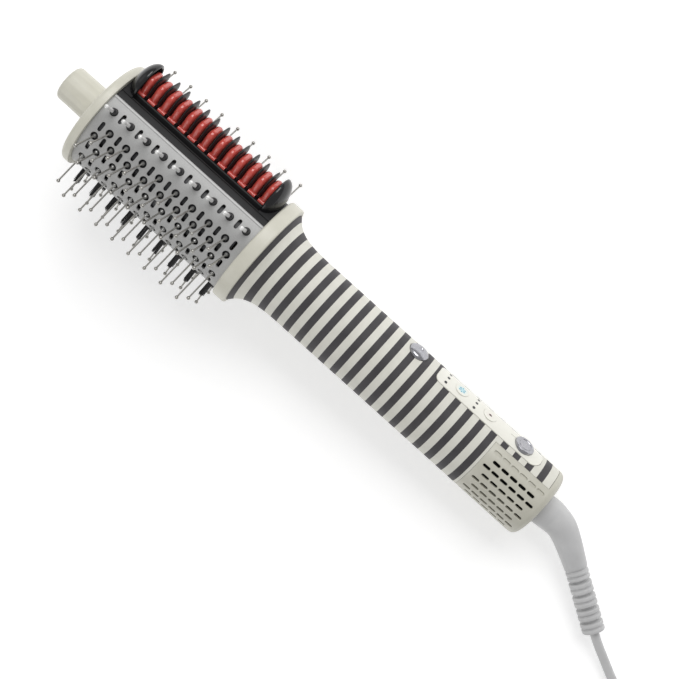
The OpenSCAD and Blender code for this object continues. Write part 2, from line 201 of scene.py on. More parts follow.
def metal(name, c1, c2, rough=(0.22, 0.36), scale=400, stretch=None, bump=0.05, metallic=1.0, **kw):
    """Metal with a fine brushed or blasted grain."""
    m = Mat(name, metallic=metallic, **kw)
    co = m.coord
    if stretch is not None:
        mp = m.n("ShaderNodeMapping")
        mp.inputs["Scale"].default_value = stretch
        m.link(m.coord, mp.inputs["Vector"])
        co = mp.outputs["Vector"]
    g = m.noise(scale, 4, 0.65, coord=co)
    m.color(m.ramp(g, [(0.25, c1), (0.75, c2)]))
    m.rough(m.noise(scale * 0.7, 3, 0.6, coord=co), *rough)
    m.bump(g, bump, 0.0001)
    return m


def woven(name, c1, c2, rough=(0.5, 0.66), pitch=0.62, bump=0.22):
    """Soft-touch wrap with a fine cross-woven print grain, laid along and round the handle."""
    m = Mat(name, Sheen_Weight=0.08)
    x, y, z = m.local()
    ang = m.math("ARCTAN2", y, z)
    u = m.math("SINE", m.math("MULTIPLY", x, 2 * math.pi / pitch))
    v = m.math("SINE", m.math("MULTIPLY", ang, 22.0 * 2 * math.pi / pitch))
    w = m.math("MULTIPLY", u, v)
    f = m.math("MULTIPLY_ADD", w, 0.5, 0.5)
    n = m.noise(150, 4, 0.6)
    mix = m.math("MULTIPLY_ADD", f, 0.35, m.math("MULTIPLY", n, 0.65))
    m.color(m.ramp(mix, [(0.25, c1), (0.75, c2)]))
    m.rough(m.noise(1200, 3, 0.6), *rough)
    m.bump(m.math("ADD", f, m.math("MULTIPLY", m.noise(4200, 2), 0.4)), bump, 0.00006)
    return m


cream = plastic("cream_shell", (0.600, 0.585, 0.500), (0.650, 0.635, 0.550), (0.34, 0.46), bump=0.05, Coat_Weight=0.06)
grille_cream = plastic("grille_cream", (0.510, 0.498, 0.425), (0.555, 0.542, 0.470), (0.34, 0.46), bump=0.05, Coat_Weight=0.06)
panel = plastic("panel_cream", (0.780, 0.770, 0.700), (0.820, 0.810, 0.740), (0.26, 0.36), bump=0.03, Coat_Weight=0.15)
wrap_light = woven("wrap_cream", (0.625, 0.615, 0.550), (0.735, 0.725, 0.660))
wrap_dark = woven("wrap_charcoal", (0.030, 0.027, 0.030), (0.060, 0.056, 0.061), (0.62, 0.74))
black = plastic("black_nylon", (0.014, 0.014, 0.016), (0.024, 0.024, 0.027), (0.36, 0.52), bump=0.12)
charcoal = plastic("tray_charcoal", (0.012, 0.012, 0.013), (0.020, 0.020, 0.021), (0.42, 0.54), bump=0.1, Specular_IOR_Level=0.25)
gloss = plastic("guard_gloss", (0.006, 0.006, 0.007), (0.012, 0.012, 0.013), (0.14, 0.24), grain=1500, bump=0.02, Specular_IOR_Level=0.4, Coat_Weight=0.25, Coat_Roughness=0.08)
tooth = plastic("tooth_black", (0.005, 0.005, 0.006), (0.011, 0.011, 0.012), (0.26, 0.38), grain=1500, bump=0.04, Specular_IOR_Level=0.35)
sleeve = metal("sleeve_satin", (0.365, 0.365, 0.36), (0.455, 0.455, 0.45), (0.5, 0.62), 1900, bump=0.08, metallic=0.3)
# hem bead metal: a lighter copy of the sleeve metal, a painted highlight along the sleeve's folded edge
hem = metal("hem_painted_highlight", (0.42, 0.42, 0.415), (0.52, 0.52, 0.515), (0.42, 0.54), 1900, bump=0.05, metallic=0.3)
pin_mat = metal("pin_wire", (0.34, 0.33, 0.31), (0.52, 0.51, 0.48), (0.22, 0.34), 1600, bump=0.05, metallic=0.9)
# bright sleeve metal for the near first-row wires: a painted highlight for the glint on the wires seen end-on
painted_highlight_stub_mat = metal("pin_painted_highlight", (0.78, 0.78, 0.77), (0.88, 0.88, 0.87), (0.24, 0.34), 1400, bump=0.03, metallic=0.4)
seat_mat = metal("pin_seat", (0.30, 0.30, 0.29), (0.46, 0.46, 0.45), (0.24, 0.36), 1600, bump=0.05, metallic=0.8)
button = metal("button_chrome", (0.36, 0.36, 0.385), (0.50, 0.50, 0.53), (0.16, 0.28), 900, bump=0.02)
steel = metal("screw_steel", (0.42, 0.42, 0.43), (0.6, 0.6, 0.62), (0.25, 0.42), 700, bump=0.08)
brass = metal("blade_brass", (0.52, 0.42, 0.20), (0.68, 0.57, 0.30), (0.24, 0.38), 800, (1, 6, 1), bump=0.06)
alloy = metal("heater_alloy", (0.36, 0.35, 0.33), (0.52, 0.5, 0.47), (0.4, 0.6), 500, bump=0.12)
can = metal("motor_can", (0.4, 0.4, 0.42), (0.56, 0.56, 0.58), (0.28, 0.42), 600, bump=0.06)
# near-black, matte filter screen: painted shade, so the grille slots read black inside
screen = plastic("screen_painted_shade", (0.004, 0.004, 0.005), (0.010, 0.010, 0.011), (0.6, 0.75), grain=1800, bump=0.05, Specular_IOR_Level=0.1)
mica = plastic("mica_sheet", (0.50, 0.45, 0.33), (0.62, 0.57, 0.44), (0.45, 0.65), mottled=240, bump=0.14)
board = plastic("board_green", (0.02, 0.12, 0.06), (0.035, 0.17, 0.085), (0.3, 0.45), mottled=400, bump=0.05)
duct = plastic("duct_plastic", (0.50, 0.49, 0.44), (0.6, 0.59, 0.54), (0.5, 0.65), bump=0.08)
rubber = plastic("rubber_black", (0.016, 0.016, 0.016), (0.032, 0.032, 0.032), (0.6, 0.8), bump=0.2)
fan_mat = plastic("fan_plastic", (0.03, 0.03, 0.034), (0.05, 0.05, 0.056), (0.4, 0.55), bump=0.05)
lens = plastic("lens_dark", (0.006, 0.006, 0.008), (0.014, 0.014, 0.018), (0.08, 0.16), bump=0.01, Coat_Weight=0.6)
grey = plastic("relief_grey", (0.50, 0.50, 0.502), (0.575, 0.575, 0.577), (0.34, 0.46), grain=1900, bump=0.06, mottled=60)
lead_mat = plastic("lead_grey", (0.50, 0.50, 0.502), (0.57, 0.57, 0.572), (0.34, 0.46), grain=1400, bump=0.06, mottled=50)

# Red coating: glossy, with a faint random mottle to a lighter tone
red = Mat("red_coating", rough=0.2, Coat_Weight=0.7, Coat_Roughness=0.12)
red.color(red.ramp(red.noise(420, 5, 0.6), [(0.25, (0.50, 0.050, 0.040)), (0.6, (0.62, 0.085, 0.065)), (0.85, (0.68, 0.14, 0.11))]))
red.rough(red.noise(700, 3, 0.6), 0.16, 0.3)
red.bump(red.noise(1300, 3, 0.5), 0.12, 0.0001)

# Tuft filaments: streaked along their length by a fine noise
fil = plastic("tuft_filament", (0.006, 0.006, 0.007), (0.03, 0.03, 0.032), (0.28, 0.5), grain=3200, mottled=1800, bump=0.1)


def glow_key(name, a, tint):
    """Key cap: cream, with the lamp under it showing faintly through at its centre."""
    m = Mat(name, Coat_Weight=0.15)
    x, y, z = m.local()
    dx = m.math("SUBTRACT", x, a)
    d = m.math("SQRT", m.math("ADD", m.math("MULTIPLY", dx, dx), m.math("MULTIPLY", y, y)))
    f = m.math("ADD", m.math("MULTIPLY", d, 0.2), m.math("MULTIPLY", m.noise(500, 3), 0.06))
    m.color(m.ramp(f, [(0.1, tint), (0.75, (0.80, 0.79, 0.72))]))
    m.rough(m.noise(900, 3), 0.26, 0.36)
    m.bump(m.noise(2600, 2), 0.03, 0.0001)
    return m


mode_mat = glow_key("mode_key", 278.9, (0.60, 0.80, 0.86))
speed_mat = glow_key("speed_key", 299.6, (0.80, 0.755, 0.70))

ice = Mat("icon_ice", rough=0.3, Emission_Strength=0.18)
ice_c = ice.ramp(ice.noise(900, 3), [(0.3, (0.02, 0.28, 0.40)), (0.7, (0.05, 0.40, 0.52))])
ice.color(ice_c)
ice.link(ice_c, ice.b.inputs["Emission Color"])
ice.rough(ice.noise(1500, 2), 0.25, 0.4)
mark = plastic("icon_maroon", (0.03, 0.006, 0.008), (0.06, 0.012, 0.014), (0.3, 0.45), bump=0.03)


# ---------------------------------------------------------------- mesh helpers
def make(name, verts, faces, mats, body="housing", replaces=(), face_mats=None, local=True, sharp=32, smooth=True):
    me = bpy.data.meshes.new(name)
    pts = [L(v) for v in verts] if local else [Vector(v) * MM for v in verts]
    me.from_pydata([tuple(p) for p in pts], [], faces)
    mats = mats if isinstance(mats, (list, tuple)) else [mats]
    for m in mats:
        me.materials.append(m.m)
    if face_mats is not None:
        me.polygons.foreach_set("material_index", face_mats)
    bm = bmesh.new()
    bm.from_mesh(me)
    bmesh.ops.remove_doubles(bm, verts=bm.verts, dist=1e-7)
    bmesh.ops.recalc_face_normals(bm, faces=bm.faces)
    bm.to_mesh(me)
    bm.free()
    if smooth:
        me.shade_smooth()
        me.set_sharp_from_angle(angle=math.radians(sharp))
    o = bpy.data.objects.new(name, me)
    bpy.context.scene.collection.objects.link(o)
    if body is not None:
        finish_piece(o, body, replaces)
    return o


def finish_piece(o, body, replaces=()):
    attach(o, body)
    if replaces:
        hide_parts(*replaces)


def grid_faces(rows, cols, close_rows=False, close_cols=False, base=0):
    f = []
    for i in range(rows if close_rows else rows - 1):
        for j in range(cols if close_cols else cols - 1):
            a, b = i, (i + 1) % rows
            c, d = j, (j + 1) % cols
            f.append((base + a * cols + c, base + a * cols + d, base + b * cols + d, base + b * cols + c))
    return f


def revolve(profile, n=96, closed=True, radius_of=None, deg0=0.0, deg1=360.0):
    """profile: (a, r) points. Returns verts and faces about the brush's axis. r = 0 gives a pole after welding."""
    full = abs(deg1 - deg0) >= 359.9
    cols = n if full else n + 1
    verts = []
    for (a, r) in profile:
        for j in range(cols):
            deg = deg0 + (deg1 - deg0) * j / n
            rr = r if radius_of is None else radius_of(a, r, deg)
            verts.append(pol(a, rr, deg))
    faces = grid_faces(len(profile), cols, close_rows=closed, close_cols=full)
    if not full:
        faces.append(tuple(i * cols for i in range(len(profile))))
        faces.append(tuple(i * cols + cols - 1 for i in reversed(range(len(profile)))))
    return verts, faces


def arc(cx, cy, r, d0, d1, n=6):
    return [(cx + r * math.cos(math.radians(d0 + (d1 - d0) * i / n)), cy + r * math.sin(math.radians(d0 + (d1 - d0) * i / n))) for i in range(n + 1)]


def prism(outline, x0, x1, map_pt):
    """Extrudes a closed outline of (u, v) between two values; map_pt(u, v, w) gives the point."""
    n = len(outline)
    verts = [map_pt(u, v, x0) for (u, v) in outline] + [map_pt(u, v, x1) for (u, v) in outline]
    faces = [tuple(range(n)), tuple(range(2 * n - 1, n - 1, -1))]
    for i in range(n):
        j = (i + 1) % n
        faces.append((i, j, n + j, n + i))
    return verts, faces


def pill(l, w, n=8):
    pts = []
    for s in (0, 1):
        for i in range(n + 1):
            t = math.radians(-90 + 180 * i / n + 180 * s)
            pts.append(((1 if s == 0 else -1) * (l - w) / 2 + w / 2 * math.cos(t), w / 2 * math.sin(t)))
    return pts


def boolean(obj, cutter, op="DIFFERENCE"):
    """Applies an exact boolean and removes the cutter."""
    mod = obj.modifiers.new("cut", "BOOLEAN")
    mod.operation = op
    mod.solver = "EXACT"
    mod.object = cutter
    dg = bpy.context.evaluated_depsgraph_get()
    me = bpy.data.meshes.new_from_object(obj.evaluated_get(dg))
    obj.modifiers.clear()
    old = obj.data
    obj.data = me
    bpy.data.meshes.remove(old)
    gone = cutter.data
    bpy.data.objects.remove(cutter)
    bpy.data.meshes.remove(gone)
    return obj


def reshade(obj, deg=30):
    obj.data.shade_smooth()
    obj.data.set_sharp_from_angle(angle=math.radians(deg))


def joined(parts):
    """Several (verts, faces) as one."""
    verts, faces = [], []
    for v, f in parts:
        k = len(verts)
        verts += v
        faces += [tuple(i + k for i in q) for q in f]
    return verts, faces


def catmull(P, k):
    P = [Vector(p) for p in P]
    n = len(P)
    out = []
    for i in range(n - 1):
        p1, p2 = P[i], P[i + 1]
        p0 = P[i - 1] if i > 0 else p1 * 2 - p2
        p3 = P[i + 2] if i < n - 2 else p2 * 2 - p1
        for j in range(k):
            t = j / k
            out.append(0.5 * ((2 * p1) + (p2 - p0) * t + (2 * p0 - 5 * p1 + 4 * p2 - p3) * t * t + (3 * p1 - p0 - 3 * p2 + p3) * t ** 3))
    out.append(P[-1])
    return out


def resample(P, step):
    """Points at an even spacing along a polyline, ends kept."""
    S = [0.0]
    for i in range(1, len(P)):
        S.append(S[-1] + (P[i] - P[i - 1]).length)
    n = max(2, round(S[-1] / step))
    out, i = [], 0
    for k in range(n + 1):
        s = S[-1] * k / n
        while i < len(S) - 2 and S[i + 1] < s:
            i += 1
        f = (s - S[i]) / max(1e-9, S[i + 1] - S[i])
        out.append(P[i].lerp(P[i + 1], f))
    return out


# ---------------------------------------------------------------- the lead
D = 5.4
COIL = Vector((361, -3, 0))
MID = 32.4
LEAD = [(246, -31.8, 8.6), (252, -35.4, 7.7), (260.5, -39.8, 6.4), (273, -46, 4.4), (284, -50.4, 3.2), (296, -53.2, 2.8),
        (310, -54.2, 2.8), (325, -52.6, 2.8), (340, -49.4, 2.8), (351, -47.0, 2.8)]
TAIL = [(373, -46.1, 8.2), (383, -46.4, 7.9), (393, -47, 7.2), (404, -47.6, 7), (413.2, -48.05, 7)]


def ease(f):
    f = max(0.0, min(1.0, f))
    return f * f * (3 - 2 * f)


def coil_point(p):
    """Centre line of the coil at p degrees of winding: inward in the lower layer, then outward in the upper one."""
    shift = sum(ease((p - 360 * k - 250) / 108) for k in range(4)) - sum(ease((p - 360 * k - 62) / 108) for k in (5, 6, 7, 8))
    r = MID + 2 * D - D * shift
    z = 2.8 + D * ease((p - 360 * 4 - 175) / 70)
    t = math.radians(p - 90)
    return COIL + Vector((r * math.cos(t), r * math.sin(t), z))


coil = [coil_point(p) for p in range(6, 3236, 5)]
lead_in = catmull(LEAD + [tuple(coil[0]), tuple(coil[1])], 6)[: -6]
tail_out = catmull([tuple(coil[-2]), tuple(coil[-1])] + TAIL, 6)[6:]
route = resample(lead_in + coil[1:] + tail_out[1:], 3.0)
cu = bpy.data.curves.new("lead", "CURVE")
cu.dimensions = "3D"
cu.bevel_depth = D / 2 * MM
cu.bevel_resolution = 5
cu.use_fill_caps = True
sp = cu.splines.new("POLY")
sp.points.add(len(route) - 1)
for q, p in zip(sp.points, route):
    q.co = (p.x * MM, p.y * MM, p.z * MM, 1)
sp.use_smooth = True
cu.materials.append(lead_mat.m)
lead = bpy.data.objects.new("lead", cu)
bpy.context.scene.collection.objects.link(lead)
finish_piece(lead, "housing", ("cord_lead", "cord_coil", "cord_tail"))


# ---------------------------------------------------------------- strain relief
def on_axis(a):
    return ROT @ Vector((a, 0, 0)) + AT


BOOT = [(183.1, 1.9, 18.7), (189.8, 1.6, 17.9), (194.3, 0.3, 17.2), (200, -2.6, 16.3), (205.6, -5.9, 15.3),
        (212.2, -10, 14), (220.6, -15.4, 12.6), (228.9, -20.8, 11.2), (237.3, -26.2, 9.9), (246, -31.8, 8.6)]
bp = catmull([on_axis(352), on_axis(354), on_axis(357)] + BOOT, 8)
bS = [0.0]
for i in range(1, len(bp)):
    bS.append(bS[-1] + (bp[i] - bp[i - 1]).length)
b_end = bS[-1]


def boot_at(s):
    s = max(0.0, min(b_end, s))
    i = 0
    while i < len(bS) - 2 and bS[i + 1] < s:
        i += 1
    return bp[i].lerp(bp[i + 1], (s - bS[i]) / (bS[i + 1] - bS[i]))


r0 = b_end - 38.8


def boot_r(s):
    if s < 11:
        return 9.5
    if s < r0:
        return 9.5 - 2.85 * min(1, (s - 11) / (r0 - 11)) ** 0.85
    return 6.65


# grooves as (start, end, floor radius)
GR = [(r0 + 0.4, r0 + 1.9, 5.75), (r0 + 3.7, r0 + 5.1, 5.75)]
for k in range(5):
    g0 = r0 + 6.9 + 8 * k
    if g0 + 1.7 < b_end - 0.8:
        GR.append((g0 - 0.2, g0 + 1.9, 3.9))
    if g0 + 5.6 < b_end - 0.8:
        GR.append((g0 + 4.2, g0 + 5.5, 5.7))
ss = []
s = 0.0
while s < r0 - 0.6:
    ss.append((s, boot_r(s)))
    s += 1.5
edges = []
for (g0, g1, gr) in GR:
    edges += [(g0 - 0.28, 6.62), (g0 - 0.08, 6.5), (g0 + 0.06, 6.2), (g0 + 0.18, gr + 0.25), (g0 + 0.38, gr), (g1 - 0.38, gr), (g1 - 0.18, gr + 0.25), (g1 - 0.06, 6.2), (g1 + 0.08, 6.5), (g1 + 0.28, 6.62)]
ss += edges + [(b_end - 0.9, 6.62), (b_end - 0.35, 6.4), (b_end - 0.05, 5.7), (b_end, 4.6), (b_end, 2.72), (b_end - 3, 2.72)]
NB = 40
bv, prev = [], None
for (s, r) in ss:
    c = boot_at(s)
    t = (boot_at(s + 1.5) - boot_at(s - 1.5)).normalized()
    side = t.cross(Vector((0, 0, 1))).normalized()
    upv = side.cross(t)
    for j in range(NB):
        w = 2 * math.pi * j / NB
        bv.append(tuple(c + side * (r * math.cos(w)) + upv * (r * math.sin(w))))
bf = grid_faces(len(ss), NB, close_cols=True)
bf.append(tuple(range(NB)))
relief = make("strain_relief_moulding", bv, bf, grey, replaces=("strain_relief",), local=False, sharp=50)

# ---------------------------------------------------------------- plug, blades and tie
PLUG = Matrix.Translation((412, -48, 7)) @ Matrix.Rotation(math.radians(-4), 4, "Z")


def rr_ring(hy, hz, r, n=8):
    pts = []
    for (cy, cz, d0) in ((hy - r, hz - r, 0), (-hy + r, hz - r, 90), (-hy + r, -hz + r, 180), (hy - r, -hz + r, 270)):
        for i in range(n):
            t = math.radians(d0 + 90 * i / (n - 1))
            pts.append((cy + r * math.cos(t), cz + r * math.sin(t)))
    return pts


stations = [(-0.0, 3.2, 3.2, 3.2), (0.4, 3.6, 3.6, 3.6)]
for k in range(4):
    x = 1.8 + 2.5 * k
    r = 3.7 + 0.33 * k
    stations += [(x, r, r, r), (x + 0.25, r - 0.7, r - 0.7, r - 0.7), (x + 0.85, r - 0.7, r - 0.7, r - 0.7), (x + 1.1, r + 0.1, r + 0.1, r + 0.1)]
stations += [(12.1, 5.3, 5.0, 5.0), (12.9, 8.6, 5.9, 4.6), (14.2, 10.6, 6.5, 4.2), (16.5, 11.6, 6.85, 4), (18.5, 11.9, 6.95, 4)]
for k in range(5):
    x = 19.2 + 2.3 * k
    stations += [(x, 11.9, 6.95, 4), (x + 0.3, 11.3, 6.9, 3.6), (x + 1.0, 11.3, 6.9, 3.6), (x + 1.3, 11.9, 6.95, 4)]
stations += [(31.5, 11.95, 6.95, 4), (35.0, 11.95, 6.95, 4), (35.7, 11.7, 6.7, 3.8), (36.0, 11.2, 6.2, 3.4)]
pv = []
for (x, hy, hz, r) in stations:
    for (y, z) in rr_ring(hy, hz, min(r, hy, hz) - 1e-4):
        q = PLUG @ Vector((x, y, z))
        pv.append((q.x, q.y, q.z))
ncol = 32
pf = grid_faces(len(stations), ncol, close_cols=True)
pf += [tuple(range(ncol)), tuple(range(len(pv) - 1, len(pv) - 1 - ncol, -1))]
plug = make("plug_moulding", pv, pf, grey, replaces=("plug_body",), local=False, sharp=38)

# Hook-and-loop strap round the coil: one closed band
tv, tf = [], []
TA = math.radians(150)
tc = COIL + Vector((MID * math.cos(TA), MID * math.sin(TA), 0))
rad, tan = Vector((math.cos(TA), math.sin(TA), 0)), Vector((-math.sin(TA), math.cos(TA), 0))
outer = rr_ring(14.85, 5.97, 3.2, 10)
inner = rr_ring(13.65, 5.48, 2.6, 10)
rows = []
for (w, o_r) in ((-3.0, 0.35), (-2.75, 0.0), (2.75, 0.0), (3.0, 0.35)):
    ring = []
    for (oy, oz), (iy, iz) in zip(outer, inner):
        f = o_r
        ring.append(tc + rad * (oy + (iy - oy) * f) + tan * w + Vector((0, 0, 6.03 + oz + (iz - oz) * f)))
    rows.append(ring)
for w in (3.0, -3.0):
    rows.append([tc + rad * iy + tan * w + Vector((0, 0, 5.58 + iz)) for (iy, iz) in inner])
n = len(outer)
for ring in rows:
    tv += [tuple(p) for p in ring]
tf = grid_faces(len(rows), n, close_rows=True, close_cols=True)
tie = make("tie_strap", tv, tf, rubber, replaces=("coil_tie",), local=False, sharp=45)

# ---------------------------------------------------------------- barrel ends and collar
def facet(a, r, deg):
    """Wide shallow flutes round the cool tip."""
    k = 18
    d = (deg % (360 / k)) - 180 / k
    poly = math.cos(math.pi / k) / math.cos(math.radians(d))
    f = 0.75 if r > 6 else 0.0
    return r * (1 - f + f * poly)


tip = [(0.75, 0.0), (0.75, 4.2), (0.95, 4.5), (0.35, 4.9), (0.12, 5.4), (0.1, 8.3)] + arc(2.7, 8.3, 2.6, 180, 90, 8)[1:]
tip = [(a, r) for (a, r) in tip[:6]] + [(2.7 + 2.6 * math.cos(math.radians(t)), 8.3 + 2.6 * math.sin(math.radians(t))) for t in (168, 156, 144, 132, 120, 108, 98, 90)]
tip += [(8, 10.93), (16, 10.98), (24.6, 11.05), (25.1, 11.1), (25.45, 11.1), (25.45, 7.9), (28.5, 7.9), (28.5, 0.0)]
v, f = revolve(tip, 144, closed=False, radius_of=facet)
make("cool_tip_moulding", v, f, cream, replaces=("cool_tip",), sharp=28)

cap = [(25.5, 0.0), (25.5, 11.4), (25.35, 11.7), (25.35, 12.1), (25.5, 12.4), (25.5, 31.5)]
cap += [(27.9 + 2.4 * math.cos(math.radians(t)), 31.5 + 2.4 * math.sin(math.radians(t))) for t in (168, 156, 144, 132, 120, 108, 98, 90)]
cap += [(30.6, 33.9), (30.95, 33.8), (31.08, 33.5), (31.08, 30.2), (34.5, 30.0), (34.5, 26.2), (31.2, 26.2), (31.2, 0.0)]
cap = [p for p in cap if not (p[0] > 31.1 and p[1] > 26.3)]
v, f = revolve(cap, 160, closed=False)
make("end_cap_moulding", v, f, cream, replaces=("end_cap",), sharp=28)

col = [(139.2, 23.6), (139.2, 32.4)]
col += [(140.5 + 1.3 * math.cos(math.radians(t)), 32.6 + 1.3 * math.sin(math.radians(t))) for t in (180, 160, 140, 120, 105, 90)]
col += [(146.6 + 1.2 * math.cos(math.radians(t)), 32.7 + 1.2 * math.sin(math.radians(t))) for t in (90, 70, 50, 30, 10, 0)]
col += [(147.8, 26.5), (149.6, 26.5), (149.6, 23.6)]
v, f = revolve(col, 160, closed=True)
make("rear_collar_moulding", v, f, cream, replaces=("rear_collar",), sharp=28)

# ---------------------------------------------------------------- striped handle
def flare(a):
    return 22 + 9.9 * (math.exp(-(a - 147.9) / 6.7) - math.exp(-(176 - 147.9) / 6.7))


BANDS = [(146.3 + 8.81 * k, 146.3 + 8.81 * k + 4.28) for k in range(23)]
marks = sorted({147.9, 349.4} | {x for b in BANDS for x in b if 147.95 < x < 349.3})
st = []
for m0, m1 in zip(marks, marks[1:]):
    k = max(1, math.ceil((m1 - m0) / (1.1 if m0 < 176 else 6)))
    st += [m0 + (m1 - m0) * i / k for i in range(k)]
st.append(349.4)
radius = lambda a: flare(a) if a < 176 else 22.0
prof = [(147.9, radius(147.9) - 0.35), (148.05, radius(148.1) - 0.08)] + [(a, radius(a)) for a in st[1:]]
prof += [(349.4, 20.0)] + [(a, max(20.0, radius(a) - 2.4)) for a in (176, 172, 166, 160, 156, 152, 147.9)]
NH = 192
v, f = revolve(prof, NH, closed=True)
mats = []
for i in range(len(prof)):
    a0, r_0 = prof[i]
    a1, r_1 = prof[(i + 1) % len(prof)]
    dark = 0
    if i < len(st) and a1 > a0:
        mid = (a0 + a1) / 2
        dark = 1 if any(b0 <= mid <= b1 for b0, b1 in BANDS) else 0
    mats += [dark] * NH
handle = make("handle_wrap", v, f, [wrap_light, wrap_dark], body=None, face_mats=mats, smooth=False)
# pocket for the control panel, hole for the dome button, and the side and lower part of the tail end
def tablet(l, w, rh, rt, n=8):
    """A rounded rectangle: corner radius rh at the head end and rt at the tail end."""
    pts = []
    for (cx, cy, r, d0) in ((l / 2 - rt, w / 2 - rt, rt, 0), (-l / 2 + rh, w / 2 - rh, rh, 90), (-l / 2 + rh, -w / 2 + rh, rh, 180), (l / 2 - rt, -w / 2 + rt, rt, 270)):
        for i in range(n + 1):
            t = math.radians(d0 + 90 * i / n)
            pts.append((cx + r * math.cos(t), cy + r * math.sin(t)))
    return pts


outline = tablet(75.4, 15.6, 4.1, 6.1)
cv, cf = prism(outline, 15, 35, lambda u, w, z: (300.1 + u, w, z))
boolean(handle, make("cut_a", cv, cf, cream, body=None, smooth=False))
circ = [(6.4 * math.cos(2 * math.pi * i / 64), 6.4 * math.sin(2 * math.pi * i / 64)) for i in range(64)]
cv, cf = prism(circ, 15, 35, lambda u, w, z: (247.2 + u, w, z))
boolean(handle, make("cut_b", cv, cf, cream, body=None, smooth=False))
half = math.radians(30.2)
sector = [(-45 * math.sin(half), 45 * math.cos(half))] + [(40 * math.cos(math.radians(t)), 40 * math.sin(math.radians(t))) for t in (140, 165, 190, 215, 240, 270, 300, 325, 350, 375, 400)] + [(45 * math.sin(half), 45 * math.cos(half))]
sector = [(0.0, 0.0)] + [(-x, y) for (x, y) in sector][::1]
# the ring outside the strip: everything but the wedge of +-30.2 degrees about the comb side
ring = [(0.0, 0.0)]
for i in range(25):
    t = 30.2 + (360 - 60.4) * i / 24
    ring.append((-42 * math.sin(math.radians(t)), 42 * math.cos(math.radians(t))))
cv, cf = prism(ring, 310.8, 356, lambda u, w, x: (x, u, w))
boolean(handle, make("cut_c", cv, cf, cream, body=None, smooth=False))
reshade(handle, 30)
finish_piece(handle, "housing", ("handle_sleeve",))

# ---------------------------------------------------------------- control panel
pan = [(255, 20.15), (255, 22.25), (345, 22.25), (345, 20.15)]
pan = [(255 + 90 * i / 12, 22.25) for i in range(13)] + [(345 - 90 * i / 12, 20.15) for i in range(13)]
v, f = revolve(pan, 60, closed=True, deg0=-26, deg1=26)
plate = make("panel_plate", v, f, panel, body=None, smooth=False)
cv, cf = prism(tablet(75.0, 15.2, 3.9, 5.9), 10, 30, lambda u, w, z: (300.1 + u, w, z))
boolean(plate, make("keep", cv, cf, panel, body=None, smooth=False), "INTERSECT")


def cyl_cut(a, r, z0=15, z1=35, n=56, y=0.0):
    c = [(r * math.cos(2 * math.pi * i / n), r * math.sin(2 * math.pi * i / n)) for i in range(n)]
    return prism(c, z0, z1, lambda u, w, z: (a + u, y + w, z))


def led_cut(a, deg, rad0=0.95, z0=19, z1=24):
    n = 20
    c = [(rad0 * math.cos(2 * math.pi * i / n), rad0 * math.sin(2 * math.pi * i / n)) for i in range(n)]
    t = math.radians(deg)

    def at(u, w, z):
        y, zz = w, z
        return (a + u, y * math.cos(t) - zz * math.sin(t), y * math.sin(t) + zz * math.cos(t))
    return prism(c, z0, z1, at)


cuts = [cyl_cut(278.9, 4.5), cyl_cut(299.6, 4.5), cyl_cut(324.7, 6.28)]
cuts += [led_cut(a, d) for a in (269, 289.7) for d in (-12, 0, 12)]
slot_o = pill(3.6, 0.5, 5)
cuts.append(prism(slot_o, 21.7, 24, lambda u, w, z: (316.6 + u, 0.4 + w, z)))
cv, cf = joined(cuts)
boolean(plate, make("cut_d", cv, cf, panel, body=None, smooth=False))
reshade(plate, 30)
finish_piece(plate, "housing", ("control_panel",))
v, f = joined([led_cut(a, d, 0.9, 20.2, 22.36) for a in (269, 289.7) for d in (-12, 0, 12)])
make("indicator_windows", v, f, lens, replaces=("indicator_lenses",), sharp=40)


# ---------------------------------------------------------------- buttons
def lathe_up(a, prof, n, mat, name, body, replaces, sharp=30):
    """prof: (r, z) about the radial line at a."""
    vs = []
    for (r, z) in prof:
        for j in range(n):
            t = 2 * math.pi * j / n
            vs.append((a + r * math.cos(t), r * math.sin(t), z))
    fs = grid_faces(len(prof), n, close_cols=True)
    return make(name, vs, fs, mat, body=body, replaces=replaces, sharp=sharp)


dome = [(0, 23.62), (0.5, 23.66), (0.9, 23.8), (1.15, 24.0), (1.35, 24.22)]
dome += [(r, 13.4 + math.sqrt(max(0, 11 * 11 - r * r))) for r in (1.7, 2.3, 3.0, 3.7, 4.4, 5.0, 5.5)]
dome += [(5.85, 22.6), (6.08, 22.2), (6.18, 21.7), (6.2, 21.2), (6.2, 18.2), (7.0, 18.2), (7.0, 17.0), (1.5, 17.0), (1.5, 16.7), (0, 16.7)]
lathe_up(247.2, dome, 72, button, "dome_cap", "dome_button", ("dome_button",))
power = [(0, 23.3), (1.5, 23.3), (1.75, 23.2), (2.0, 23.2), (2.25, 23.34), (3.3, 23.36), (3.6, 23.3), (3.75, 23.1), (4.15, 23.1), (4.3, 23.3), (4.5, 23.42),
         (5.3, 23.45), (5.75, 23.36), (6.0, 23.15), (6.1, 22.85), (6.1, 18.2), (6.9, 18.2), (6.9, 17.0), (1.5, 17.0), (1.5, 16.7), (0, 16.7)]
lathe_up(324.7, power, 72, button, "power_cap", "power_button", ("power_button",))

# Generic cold-air sign: six dashes with small barbs; and a small drop mark on the speed key
parts = []


def bar(a, cx, cy, ang, length, width, z0=22.3, z1=22.42):
    c, s_ = math.cos(ang), math.sin(ang)
    o = [(-length / 2, -width / 2), (length / 2, -width / 2), (length / 2, width / 2), (-length / 2, width / 2)]
    return prism(o, z0, z1, lambda u, w, z: (a + cx + u * c - w * s_, cy + u * s_ + w * c, z))


